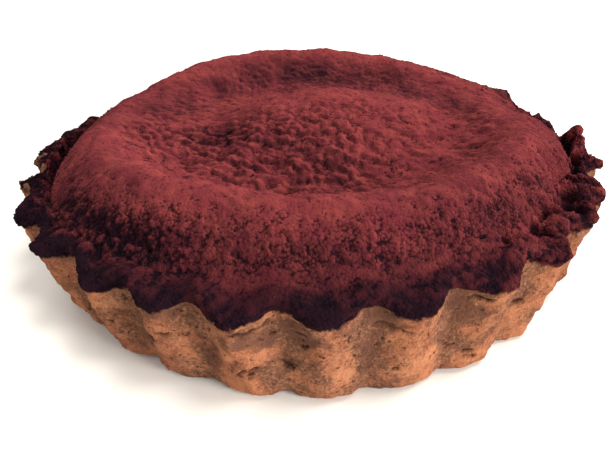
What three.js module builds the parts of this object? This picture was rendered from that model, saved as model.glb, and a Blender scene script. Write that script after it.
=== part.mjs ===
// A small chocolate tart: a fluted shortcrust case, filled to above its rim with chocolate that set with a
// raised ring and a low swell in the middle. Millimetres, +Z up, the origin on the table under the middle.
// Angles are in degrees counted from +X towards +Y.
import * as THREE from "three";

const TAU = 2 * Math.PI;
const GOLDEN_ANGLE = Math.PI * (3 - Math.sqrt(5));

// ---- Driving dimensions: the case ----
const FLUTES = 28;
const FIRST_LOBE_DEG = 0.9;
const RIM_LOBE_RADIUS = 57.8; // the wall's top edge, out on a lobe and in at a notch
const RIM_NOTCH_RADIUS = 55.0;
const BASE_LOBE_RADIUS = 54.3; // the wall on the table
const BASE_NOTCH_RADIUS = 52.8;
const BASE_LOBE_WIDTH = 0.6; // under 1 makes wide lobes with narrow notches between them
const EDGE_LOBE_HEIGHT = 16.7; // the wall's top edge above the table
const EDGE_NOTCH_HEIGHT = 18.1;
const WALL_FLARE = 1.08;
const WALL_BELLY = 0.35;
const FOOT_ROUNDING = 1.1;
const FOOT_HEIGHT_SHARE = 0.08;
const FLOOR_THICKNESS = 3.5;
const FLOOR_RADIUS = 48.2; // where the inner wall meets the floor
const LIP_OVERHANG = 0.6; // the cocoa-covered lip stands this far out from the wall
const LIP_SHOULDER = 3.4;
const LIP_RISE = 2.5;
const LIP_CROWN = 0.3;
const LIP_NARROWEST = 0.3; // the least share of the lip's width that stays inside its shoulder

// ---- Driving dimensions: the filling ----
const GAP = 0.3; // between the filling and the case
const SEAM_RADIUS = 52.3; // the middle of the seam between the case and the filling
const SEAM_HEIGHT = 19.8;
const CREVICE_FLOOR = 13.0;
const CREVICE_TOP = 18.0;
const CREVICE_KNEE = 0.45; // the section's corner in the crevice, as a share of the way up to the top
const CREVICE_DIP = 0.6; // how far the filling's edge drops for each millimetre of crevice
const RING_RADIUS = 42.3; // the crest of the raised ring
const RING_HEIGHT = 26.5;
const RING_SHOULDER = 1.7; // over 1 rounds the crest and steepens the outer slope
const VALLEY_RADIUS = 28.0;
const VALLEY_HEIGHT = 22.4;
const SWELL_X = 4.0; // the low swell in the middle
const SWELL_Y = -0.5;
const SWELL_HEIGHT = 26.0;
const SWELL_FLAT = 9.0;
const SWELL_SLOPE = 18.0;

// ---- Unevenness: rows of [waves round the tart, size, phase] and of [middle angle, half width, size] ----
const RADIUS_WAVES = [[3, 0.14, 0.7], [5, 0.1, 2.1], [11, 0.1, 0.4]];
const HEIGHT_WAVES = [[4, 0.2, 1.9], [7, 0.15, 0.3], [13, 0.15, 2.7]];
const CRAG_WAVES = [[17, 0.1, 0.3], [23, 0.12, 1.1], [31, 0.12, 2.9], [43, 0.12, 0.8]];
const CRAG_SHIFT = 1; // radians between the rim's unevenness outwards and upwards
const CRUMBLY = [[-170, 42, 1.8], [-8, 36, 2.2]]; // how much rougher than elsewhere the rim is there
const RING_WAVES = [[1, 1.31, 4.18], [2, 1.33, 4.57], [3, 0.56, 2.27]];
const RING_DIPS = [[14, 34, -1.6], [95, 40, -0.4], [160, 40, -0.8]];
const RIM_SPREAD = [
  [-179, 7, 1.1],
  [-166, 7, -0.4],
  [-152, 26, 1.5],
  [-140, 40, -0.9],
  [-38, 14, -0.5],
  [-16, 22, -1.5],
  [0, 6, -0.75],
  [15, 16, -1.2],
];
const BASE_SPREAD = [[-150, 30, -0.95], [-125, 28, -1.2], [-30, 45, -1.4]];
const RIM_BREAKS = [
  [-25, 8, -2],
  [-12, 5, -1.7],
  [6.3, 6.9, 0.8],
  [14, 20, -11.9],
  [15, 12.8, 8.1],
  [44, 20, -3.6],
  [150, 16, -1],
];
const CREVICES = [[-179, 40, 2.0], [-8, 16, 2.4], [-28, 7, 3.2], [-45, 4, 1.4], [-57, 3, 0.7]];
const SEAM_SPREAD = [[-140, 50, 0.9], [-72, 16, 0.7], [-31, 12, -1.9], [-24, 39, -0.9]];
const RING_SPREAD = [[-128, 50, -1.0], [40, 50, -1.5], [-90, 60, 0.8]];
const SLUMPS = [[11, 54, 16, 4.5]]; // angle, radius, half width and depth of where the filling has slumped
const LUMP_WAVES = 7;
const LUMP_LONGEST = 17;
const LUMP_SHRINK = 0.84;
const LUMP_STEEPNESS = 0.01;

// ---- Mesh steps ----
const CASE_COLUMNS = FLUTES * 8;
const FILLING_COLUMNS = 112;
const WALL_STEPS = [0, 0.03, 0.08, 0.3, 0.55, 0.8, 1];
const LIP_STEPS = 3;
const RING_STEPS = [0.08, 0.18, 0.3, 0.42, 0.54, 0.64, 0.73, 0.82, 0.9];
const SLOPE_STEPS = [0, 0.18, 0.38, 0.58, 0.78, 0.92, 1];

const lerp = THREE.MathUtils.lerp;
const smooth = (x) => THREE.MathUtils.smoothstep(x, 0, 1);

/** Waves round the tart, added up at one angle. */
function waves(rows, angle) {
  return rows.reduce((sum, [count, size, phase]) => sum + size * Math.sin(count * angle + phase), 0);
}

/** Humps at their own angles, each fading to nothing at its half width, added up at one angle. */
function humps(rows, angle) {
  let sum = 0;
  for (const [middle, half, size] of rows) {
    const past = angle - THREE.MathUtils.degToRad(middle);
    const turn = THREE.MathUtils.euclideanModulo(past + Math.PI, TAU) - Math.PI;
    const share = Math.min(Math.abs(turn) / THREE.MathUtils.degToRad(half), 1);
    sum += size * (0.5 + 0.5 * Math.cos(Math.PI * share));
  }
  return sum;
}

/** 1 out on a lobe of the fluting, 0 in a notch. */
function flute(angle) {
  return 0.5 + 0.5 * Math.cos(FLUTES * (angle - THREE.MathUtils.degToRad(FIRST_LOBE_DEG)));
}

/** The fine unevenness of the rim, which is coarser where it has crumbled. */
function crags(angle, shift) {
  return waves(CRAG_WAVES, angle + shift) * (1 + humps(CRUMBLY, angle));
}

function rimRadius(angle) {
  const even = lerp(RIM_NOTCH_RADIUS, RIM_LOBE_RADIUS, flute(angle));
  return even + humps(RIM_SPREAD, angle) + waves(RADIUS_WAVES, angle) + crags(angle, 0);
}

function baseRadius(angle) {
  const even = lerp(BASE_NOTCH_RADIUS, BASE_LOBE_RADIUS, flute(angle) ** BASE_LOBE_WIDTH);
  return even + humps(BASE_SPREAD, angle) + waves(RADIUS_WAVES, angle);
}

/** The height of the wall's top edge, which is broken down in places. */
function edgeHeight(angle) {
  const even = lerp(EDGE_NOTCH_HEIGHT, EDGE_LOBE_HEIGHT, flute(angle));
  return even + humps(RIM_BREAKS, angle) + waves(HEIGHT_WAVES, angle) + crags(angle, CRAG_SHIFT);
}

/** The outer wall at a share of the way up from the table to its edge. */
function wallRadius(angle, share) {
  const foot = FOOT_ROUNDING * Math.max(0, 1 - share / FOOT_HEIGHT_SHARE) ** 2;
  const flared = lerp(baseRadius(angle), rimRadius(angle), share ** WALL_FLARE);
  return flared + WALL_BELLY * Math.sin(Math.PI * share) - foot;
}

/** The middle of the seam at a height: straight up the case's inner wall. */
function seamRadius(angle, height) {
  const top = SEAM_RADIUS + humps(SEAM_SPREAD, angle) + waves(HEIGHT_WAVES, angle);
  return lerp(FLOOR_RADIUS, top, (height - FLOOR_THICKNESS) / (SEAM_HEIGHT - FLOOR_THICKNESS));
}

/** Half the space between case and filling at a height: a narrow gap that opens upwards into a crevice. */
function halfGap(angle, height) {
  const open = smooth((height - CREVICE_FLOOR) / (CREVICE_TOP - CREVICE_FLOOR));
  return GAP / 2 + (humps(CREVICES, angle) / 2) * open;
}

/** Shallow lumps of the filling's top: waves that cross at the golden angle, each shorter than the last. */
function lumps(x, y) {
  let sum = 0;
  for (let k = 0; k < LUMP_WAVES; k++) {
    const length = LUMP_LONGEST * LUMP_SHRINK ** k;
    const along = x * Math.cos(k * GOLDEN_ANGLE) + y * Math.sin(k * GOLDEN_ANGLE);
    sum += LUMP_STEEPNESS * length * Math.sin((TAU * along) / length + k * k);
  }
  return sum;
}

/** How far the filling's top has slumped at a point. */
function slump(x, y) {
  return SLUMPS.reduce((sum, [middle, radius, half, depth]) => {
    const turn = THREE.MathUtils.degToRad(middle);
    const away = Math.hypot(x - radius * Math.cos(turn), y - radius * Math.sin(turn));
    return sum + depth * smooth(1 - away / half);
  }, 0);
}

function ringRadius(angle) {
  return RING_RADIUS + humps(RING_SPREAD, angle);
}

function ringHeight(angle) {
  return RING_HEIGHT + waves(RING_WAVES, angle) + humps(RING_DIPS, angle);
}

function fillingEdgeHeight(angle) {
  return SEAM_HEIGHT + waves(HEIGHT_WAVES, angle) - CREVICE_DIP * humps(CREVICES, angle);
}

/** The radius of the filling's edge, at the height that the seam has there once the filling has slumped. */
function fillingEdgeRadius(angle) {
  const radius = seamRadius(angle, SEAM_HEIGHT);
  const height = SEAM_HEIGHT - slump(radius * Math.cos(angle), radius * Math.sin(angle));
  return seamRadius(angle, height) - halfGap(angle, height);
}

/** The height of the filling's top: the middle swell, the valley, the raised ring and its outer slope. */
function fillingHeight(angle, radius) {
  const ring = ringRadius(angle);
  const crest = ringHeight(angle);
  const x = radius * Math.cos(angle);
  const y = radius * Math.sin(angle);
  if (radius > ring) {
    const share = Math.min((radius - ring) / (fillingEdgeRadius(angle) - ring), 1);
    const edge = fillingEdgeHeight(angle);
    const slope = edge + (crest - edge) * (1 - share ** RING_SHOULDER) + lumps(x, y) * (1 - share);
    return slope - slump(x, y);
  }
  const rise = smooth((radius - VALLEY_RADIUS) / (ring - VALLEY_RADIUS));
  const away = Math.hypot(x - SWELL_X, y - SWELL_Y);
  const swell = (SWELL_HEIGHT - VALLEY_HEIGHT) * (1 - smooth((away - SWELL_FLAT) / SWELL_SLOPE));
  return lerp(VALLEY_HEIGHT, crest, rise) + swell + lumps(x, y) - slump(x, y);
}

/** The case's section at an angle, from the middle of its underside round to the middle of its floor. */
function caseSection(angle) {
  const edge = edgeHeight(angle);
  const rim = rimRadius(angle);
  const points = [[0, 0]];
  for (const share of WALL_STEPS) {
    points.push([wallRadius(angle, share), share * edge]);
  }
  const top = edge + LIP_CROWN + LIP_RISE;
  const seamTop = Math.min(top, SEAM_HEIGHT + waves(HEIGHT_WAVES, angle));
  const inner = seamRadius(angle, seamTop) + halfGap(angle, seamTop);
  const outer = rim + LIP_OVERHANG;
  const shoulder = Math.max(outer - LIP_SHOULDER, lerp(inner, outer, LIP_NARROWEST));
  for (let i = 0; i <= LIP_STEPS; i++) {
    const turn = (i / LIP_STEPS) * (Math.PI / 2);
    points.push([lerp(shoulder, outer, Math.cos(turn)), edge + LIP_CROWN + LIP_RISE * Math.sin(turn)]);
  }
  points.push([lerp(shoulder, inner, 0.55), lerp(top, seamTop, 0.55) + LIP_CROWN]);
  points.push([inner, seamTop]);
  for (const height of [lerp(CREVICE_FLOOR, seamTop, CREVICE_KNEE), CREVICE_FLOOR, FLOOR_THICKNESS]) {
    points.push([seamRadius(angle, height) + halfGap(angle, height), height]);
  }
  points.push([0, FLOOR_THICKNESS]);
  return points;
}

/** The filling's section at an angle, from the middle of its underside round to the middle of its top. */
function fillingSection(angle) {
  const bottom = FLOOR_THICKNESS + GAP;
  const edge = fillingHeight(angle, fillingEdgeRadius(angle));
  const points = [[0, bottom]];
  for (const height of [bottom, CREVICE_FLOOR, lerp(CREVICE_FLOOR, edge, CREVICE_KNEE)]) {
    points.push([seamRadius(angle, height) - halfGap(angle, height), height]);
  }
  const ring = ringRadius(angle);
  for (const share of [...SLOPE_STEPS].reverse()) {
    const radius = lerp(ring, fillingEdgeRadius(angle), share);
    points.push([radius, fillingHeight(angle, radius)]);
  }
  for (const share of [...RING_STEPS].reverse()) {
    points.push([ring * share, fillingHeight(angle, ring * share)]);
  }
  points.push([0, fillingHeight(0, 0)]);
  return points;
}

/** A closed body turned round +Z whose section changes with the angle. */
function sweptBody(section, columns) {
  const profile = section(0).map(([radius, height]) => new THREE.Vector2(radius, height));
  const body = new THREE.LatheGeometry(profile, columns);
  const position = body.getAttribute("position");
  for (let column = 0; column <= columns; column++) {
    const angle = THREE.MathUtils.degToRad(FIRST_LOBE_DEG) + ((column % columns) * TAU) / columns;
    section(angle).forEach(([radius, height], row) => {
      const x = radius * Math.cos(angle);
      const y = radius * Math.sin(angle);
      position.setXYZ(column * profile.length + row, x, y, height);
    });
  }
  body.computeVertexNormals();
  return body;
}

function material(color, roughness) {
  return new THREE.MeshStandardMaterial({ color, roughness, metalness: 0 });
}

function subPart(name, geometry, finish) {
  const mesh = new THREE.Mesh(geometry, finish);
  mesh.name = name;
  return mesh;
}

const tart = new THREE.Group();
tart.add(subPart("crust", sweptBody(caseSection, CASE_COLUMNS), material(0xb57f5a, 0.9)));
tart.add(subPart("filling", sweptBody(fillingSection, FILLING_COLUMNS), material(0x7d3230, 0.95)));

export default tart;
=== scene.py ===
"""The looks of a small chocolate tart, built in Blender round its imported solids.

The case is baked shortcrust and the filling is set chocolate, and sieved cocoa lies over both. Lengths are
millimetres until a mesh is made, and angles are degrees counted from +X towards +Y.
"""

import logging
import math
from collections.abc import Iterator
from dataclasses import dataclass
from enum import Enum
from typing import Any

import bpy
import numpy as np
from mathutils import Matrix, Vector

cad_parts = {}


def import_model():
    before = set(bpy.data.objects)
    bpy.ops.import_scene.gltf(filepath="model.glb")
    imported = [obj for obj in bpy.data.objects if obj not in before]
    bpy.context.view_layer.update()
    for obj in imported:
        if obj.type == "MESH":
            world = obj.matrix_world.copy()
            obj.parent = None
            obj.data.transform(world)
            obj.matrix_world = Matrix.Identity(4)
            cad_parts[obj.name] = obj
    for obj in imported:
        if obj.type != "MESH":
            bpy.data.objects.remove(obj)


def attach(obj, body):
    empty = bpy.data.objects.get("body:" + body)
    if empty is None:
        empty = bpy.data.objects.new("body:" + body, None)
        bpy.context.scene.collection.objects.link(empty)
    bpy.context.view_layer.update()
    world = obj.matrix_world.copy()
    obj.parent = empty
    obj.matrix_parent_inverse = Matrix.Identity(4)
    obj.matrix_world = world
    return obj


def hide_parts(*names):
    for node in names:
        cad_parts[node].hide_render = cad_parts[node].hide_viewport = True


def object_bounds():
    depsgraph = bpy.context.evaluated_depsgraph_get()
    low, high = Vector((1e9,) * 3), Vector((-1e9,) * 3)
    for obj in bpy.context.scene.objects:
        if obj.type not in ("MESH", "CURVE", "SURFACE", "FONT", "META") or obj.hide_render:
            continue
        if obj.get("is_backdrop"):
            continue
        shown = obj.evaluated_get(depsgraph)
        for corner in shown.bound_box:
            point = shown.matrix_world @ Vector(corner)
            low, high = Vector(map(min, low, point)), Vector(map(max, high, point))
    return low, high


MM = 0.001
TAU = 2 * math.pi
GOLDEN_ANGLE = math.pi * (3 - math.sqrt(5))
BODY = "root"
SPOT_EDGE = 1.5  # above 1, a spot is even in the middle

# the noise and the hash that it draws its numbers with
CELL_OFFSET = 4096
HASH_PRIMES = (73856093, 19349663, 83492791)
HASH_MIXER = 0x45D9F3B
SEED_STEP = 7919
SALT_STEP = 104729
WORD = 0xFFFFFFFF
OCTAVE_SHARE = 0.55
OCTAVE_SHIFT = 31.7
BEND_SHIFT = 13.7
PEBBLE_RADII = (0.45, 0.8)  # the least and the most, in pebble distances

# kinds of nodes
MATH = "ShaderNodeMath"
VECTOR = "ShaderNodeVectorMath"
RANGE = "ShaderNodeMapRange"
ATTRIBUTE = "ShaderNodeAttribute"
BUMP = "ShaderNodeBump"
RANDOM = "FunctionNodeRandomValue"
MULTIPLY_ADD = {"operation": "MULTIPLY_ADD"}

Array = np.ndarray
Pair = tuple[float, float]
Triple = tuple[float, float, float]
Rows = tuple[Triple, ...]
Spots = tuple[tuple[float, float, float, float], ...]
Weights = tuple[float, ...]

log = logging.getLogger("tart")


class Slot(Enum):
    """The record's material slots."""

    CRUST = "crust"
    FILLING = "filling"


# ---------------- shape


def lerp(a: Any, b: Any, share: Any) -> Any:
    """The value at a share of the way from a to b."""
    return a + (b - a) * share


def smooth(x: Any) -> Any:
    """0 below 0, 1 above 1, and an even S between them."""
    x = np.clip(x, 0.0, 1.0)
    return x * x * (3 - 2 * x)


def waves(rows: Rows, angle: Array) -> Array:
    """The sum of waves round the tart, from the (waves round it, size, phase) of each."""
    return sum(size * np.sin(count * angle + phase) for count, size, phase in rows)


def humps(rows: Rows, angle: Array) -> Array:
    """Humps at their own angles, each fading to nothing at its half width.

    Args:
        rows: (middle angle, half width, size) of each, in degrees.
        angle: angles in radians.

    Returns:
        The sum at each angle.
    """
    total = np.zeros_like(angle)
    for middle, half, size in rows:
        turn = (angle - math.radians(middle) + math.pi) % TAU - math.pi
        share = np.minimum(np.abs(turn) / math.radians(half), 1)
        total += size * (0.5 + 0.5 * np.cos(math.pi * share))
    return total


def weighed(weights: Weights, *parts: Array) -> Array:
    """The first weight, and added to it each part by its own weight."""
    return sum((weight * part for weight, part in zip(weights[1:], parts)), start=weights[0])


def away_from(x: Array, y: Array, middle: float, radius: float) -> Array:
    """How far off each point lies from a place given by its angle in degrees and its radius."""
    turn = math.radians(middle)
    return np.hypot(x - radius * math.cos(turn), y - radius * math.sin(turn))


def spots(rows: Spots, points: Array) -> Array:
    """Round spots on the tart, each fading to nothing at its half width.

    Args:
        rows: (angle in degrees, radius, half width, strength) of each.
        points: positions, in rows of three.

    Returns:
        The strongest at each point.
    """
    total = np.zeros(len(points))
    for middle, radius, half, strength in rows:
        away = away_from(points[:, 0], points[:, 1], middle, radius)
        total = np.maximum(total, strength * smooth(SPOT_EDGE * (1 - away / half)))
    return total


@dataclass(frozen=True)
class TartForm:
    """The tart's own measures, the same ones that its solids have."""

    flutes: int = 28
    first_lobe_deg: float = 0.9
    rim_lobe_radius: float = 57.8
    rim_notch_radius: float = 55.0
    base_lobe_radius: float = 54.3
    base_notch_radius: float = 52.8
    base_lobe_width: float = 0.6
    edge_lobe_height: float = 16.7
    edge_notch_height: float = 18.1
    wall_flare: float = 1.08
    wall_belly: float = 0.35
    foot_rounding: float = 1.1
    foot_height_share: float = 0.08
    floor_thickness: float = 3.5
    floor_radius: float = 48.2
    lip_overhang: float = 0.6
    lip_shoulder: float = 3.4
    lip_rise: float = 2.5
    lip_crown: float = 0.3
    lip_narrowest: float = 0.3
    gap: float = 0.3
    seam_radius: float = 52.3
    seam_height: float = 19.8
    crevice_floor: float = 13.0
    crevice_top: float = 18.0
    crevice_dip: float = 0.6
    crevice_shows: float = 0.8  # as wide as this it is open to the eye
    ring_radius: float = 42.3
    ring_height: float = 26.5
    ring_shoulder: float = 1.7
    valley_radius: float = 28.0
    valley_height: float = 22.4
    swell_x: float = 4.0
    swell_y: float = -0.5
    swell_height: float = 26.0
    swell_flat: float = 9.0
    swell_slope: float = 18.0
    radius_waves: Rows = ((3, 0.14, 0.7), (5, 0.1, 2.1), (11, 0.1, 0.4))
    height_waves: Rows = ((4, 0.2, 1.9), (7, 0.15, 0.3), (13, 0.15, 2.7))
    crag_waves: Rows = ((17, 0.1, 0.3), (23, 0.12, 1.1), (31, 0.12, 2.9), (43, 0.12, 0.8))
    crag_shift: float = 1.0
    crumbly: Rows = ((-170, 42, 1.8), (-8, 36, 2.2))
    ring_waves: Rows = ((1, 1.31, 4.18), (2, 1.33, 4.57), (3, 0.56, 2.27))
    ring_dips: Rows = ((14, 34, -1.6), (95, 40, -0.4), (160, 40, -0.8))
    # (angle, radius, half width, depth) of the places where the filling has slumped
    slumps: Spots = ((11, 54, 16, 4.5),)
    rim_spread: Rows = (
        (-179, 7, 1.1), (-166, 7, -0.4), (-152, 26, 1.5), (-140, 40, -0.9), (-38, 14, -0.5), (-16, 22, -1.5),
        (0, 6, -0.75), (15, 16, -1.2),
    )
    base_spread: Rows = ((-150, 30, -0.95), (-125, 28, -1.2), (-30, 45, -1.4))
    rim_breaks: Rows = (
        (-25, 8, -2), (-12, 5, -1.7), (6.3, 6.9, 0.8), (14, 20, -11.9), (15, 12.8, 8.1), (44, 20, -3.6),
        (150, 16, -1),
    )
    crevices: Rows = ((-179, 40, 2.0), (-8, 16, 2.4), (-28, 7, 3.2), (-45, 4, 1.4), (-57, 3, 0.7))
    seam_spread: Rows = ((-140, 50, 0.9), (-72, 16, 0.7), (-31, 12, -1.9), (-24, 39, -0.9))
    ring_spread: Rows = ((-128, 50, -1.0), (40, 50, -1.5), (-90, 60, 0.8))
    # (angle, radius, half width, depth) of the hollows at the seam, which go through case and filling
    hollows: Spots = (
        (-7, 51.4, 1.6, 2.6), (-10.5, 51.6, 1.6, 2.8), (-14, 51.7, 1.7, 3), (-17.5, 51.7, 1.7, 3),
        (-21, 51.7, 1.6, 2.8), (-24.5, 51.9, 1.5, 2.2), (-28.5, 51.8, 1.5, 1.6), (-34.5, 52.2, 2.6, 2.4),
        (-38.5, 53, 3, 3.2), (-43.5, 51.6, 1.5, 1.6), (-49, 53, 2, 2.2), (-55, 52.4, 1.3, 1),
        (-165, 54, 2, 1.2), (-175, 53.5, 2, 1.2), (-152, 54.5, 1.6, 0.8),
    )
    hollow_seed: int = 31
    hollow_bend: Pair = (1.3, 0.9)
    bare_front: Rows = ((-128, 30, 1.0),)  # where little cocoa lies on the slope
    lump_waves: int = 7
    lump_longest: float = 17.0
    lump_shrink: float = 0.84
    lump_steepness: float = 0.01

    def flute(self, angle: Array) -> Array:
        """1 out on a lobe of the fluting, 0 in a notch."""
        return 0.5 + 0.5 * np.cos(self.flutes * (angle - math.radians(self.first_lobe_deg)))

    def crags(self, angle: Array, shift: float) -> Array:
        """The fine unevenness of the rim, which is coarser where it has crumbled."""
        return waves(self.crag_waves, angle + shift) * (1 + humps(self.crumbly, angle))

    def rim(self, angle: Array) -> Array:
        """The radius of the wall's top edge."""
        even = lerp(self.rim_notch_radius, self.rim_lobe_radius, self.flute(angle))
        uneven = humps(self.rim_spread, angle) + waves(self.radius_waves, angle)
        return even + uneven + self.crags(angle, 0)

    def base(self, angle: Array) -> Array:
        """The radius of the wall on the table."""
        lobe = self.flute(angle) ** self.base_lobe_width
        even = lerp(self.base_notch_radius, self.base_lobe_radius, lobe)
        return even + humps(self.base_spread, angle) + waves(self.radius_waves, angle)

    def edge(self, angle: Array) -> Array:
        """The height of the wall's top edge, which is broken down in places."""
        even = lerp(self.edge_notch_height, self.edge_lobe_height, self.flute(angle))
        uneven = humps(self.rim_breaks, angle) + waves(self.height_waves, angle)
        return even + uneven + self.crags(angle, self.crag_shift)

    def wall(self, angle: Array, share: float) -> Array:
        """The outer wall's radius at a share of the way up from the table to its edge."""
        foot = self.foot_rounding * max(0.0, 1 - share / self.foot_height_share) ** 2
        flared = lerp(self.base(angle), self.rim(angle), share**self.wall_flare)
        return flared + self.wall_belly * math.sin(math.pi * share) - foot

    def seam(self, angle: Array, height: Array | float) -> Array:
        """The radius of the middle of the seam at a height."""
        top = self.seam_radius + humps(self.seam_spread, angle) + waves(self.height_waves, angle)
        share = (height - self.floor_thickness) / (self.seam_height - self.floor_thickness)
        return lerp(self.floor_radius, top, share)

    def crevice(self, angle: Array, height: Array | float) -> Array:
        """Half the width of the crevice that opens upwards between case and filling."""
        share = (height - self.crevice_floor) / (self.crevice_top - self.crevice_floor)
        return humps(self.crevices, angle) / 2 * smooth(share)

    def lumps(self, x: Array, y: Array) -> Array:
        """The filling's shallow lumps: waves that cross at the golden angle, each shorter than the last.

        Args:
            x: each point's x.
            y: each point's y.

        Returns:
            The height of the lumps at each point.
        """
        total = np.zeros_like(x)
        for k in range(self.lump_waves):
            length = self.lump_longest * self.lump_shrink**k
            along = x * math.cos(k * GOLDEN_ANGLE) + y * math.sin(k * GOLDEN_ANGLE)
            total += self.lump_steepness * length * np.sin(TAU * along / length + k * k)
        return total

    def ring(self, angle: Array) -> Array:
        """The radius of the raised ring's crest."""
        return self.ring_radius + humps(self.ring_spread, angle)

    def crest(self, angle: Array) -> Array:
        """The height of the raised ring's crest."""
        return self.ring_height + waves(self.ring_waves, angle) + humps(self.ring_dips, angle)

    def shut(self, angle: Array) -> Array:
        """1 where case and filling meet without a crevice, 0 where one opens."""
        return 1 - np.clip(humps(self.crevices, angle) / self.crevice_shows, 0, 1)

    def seam_slump(self, angle: Array) -> Array:
        """How far the filling has slumped at its edge."""
        radius = self.seam(angle, self.seam_height)
        return self.slump(radius * np.cos(angle), radius * np.sin(angle))

    def filling_rim(self, angle: Array, overlap: float) -> Array:
        """The radius of the filling's edge, less half an overlap with the case."""
        level = self.seam_height - self.seam_slump(angle)
        return self.seam(angle, level) - self.crevice(angle, level) + overlap / 2

    def filling_edge(self, angle: Array) -> Array:
        """The height of the filling's edge before it slumped, which drops into a crevice."""
        level = self.seam_height + waves(self.height_waves, angle)
        return level - self.crevice_dip * humps(self.crevices, angle)

    def filling(self, angle: Array, radius: Array, rim: Array) -> Array:
        """The height of the filling's top: the middle swell, the valley, the raised ring and its slope.

        Args:
            angle: angles in radians.
            radius: the radius at each.
            rim: the radius of the filling's edge at each.

        Returns:
            The height at each.
        """
        x = radius * np.cos(angle)
        y = radius * np.sin(angle)
        ring = self.ring(angle)
        crest = self.crest(angle)
        edge = self.filling_edge(angle)
        lumps = self.lumps(x, y)
        share = np.maximum((radius - ring) / (rim - ring), 0)
        slope = edge + (crest - edge) * (1 - share**self.ring_shoulder) + lumps * (1 - share)
        rise = smooth((radius - self.valley_radius) / (ring - self.valley_radius))
        away = np.hypot(x - self.swell_x, y - self.swell_y)
        swell = 1 - smooth((away - self.swell_flat) / self.swell_slope)
        inside = lerp(self.valley_height, crest, rise) + lumps
        inside += (self.swell_height - self.valley_height) * swell
        return np.where(radius > ring, slope, inside) - self.slump(x, y)

    def slump(self, x: Array, y: Array) -> Array:
        """How far the filling's top has slumped at each point."""
        total = np.zeros_like(x)
        for middle, radius, half, depth in self.slumps:
            total += depth * smooth(1 - away_from(x, y, middle, radius) / half)
        return total


# ---------------- noise


@dataclass(frozen=True)
class Noise:
    """A layer of soft noise; lengths are millimetres."""

    size: float  # how far apart its blobs lie
    strength: float
    octaves: int = 2  # how many sizes of noise lie on each other
    shift: float = 0  # sets it apart from another layer
    flatten: float = 1  # how much lower than wide its blobs are


@dataclass(frozen=True)
class Stones:
    """A layer of round pebbles lying close together; lengths are millimetres."""

    size: float  # how far apart they lie
    strength: float
    missing: float  # the share of them that is missing
    level: float  # the height that counts as flat
    bend: Pair  # the size and the reach of the noise that bends them
    shift: float = 0
    flatten: float = 1


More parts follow.
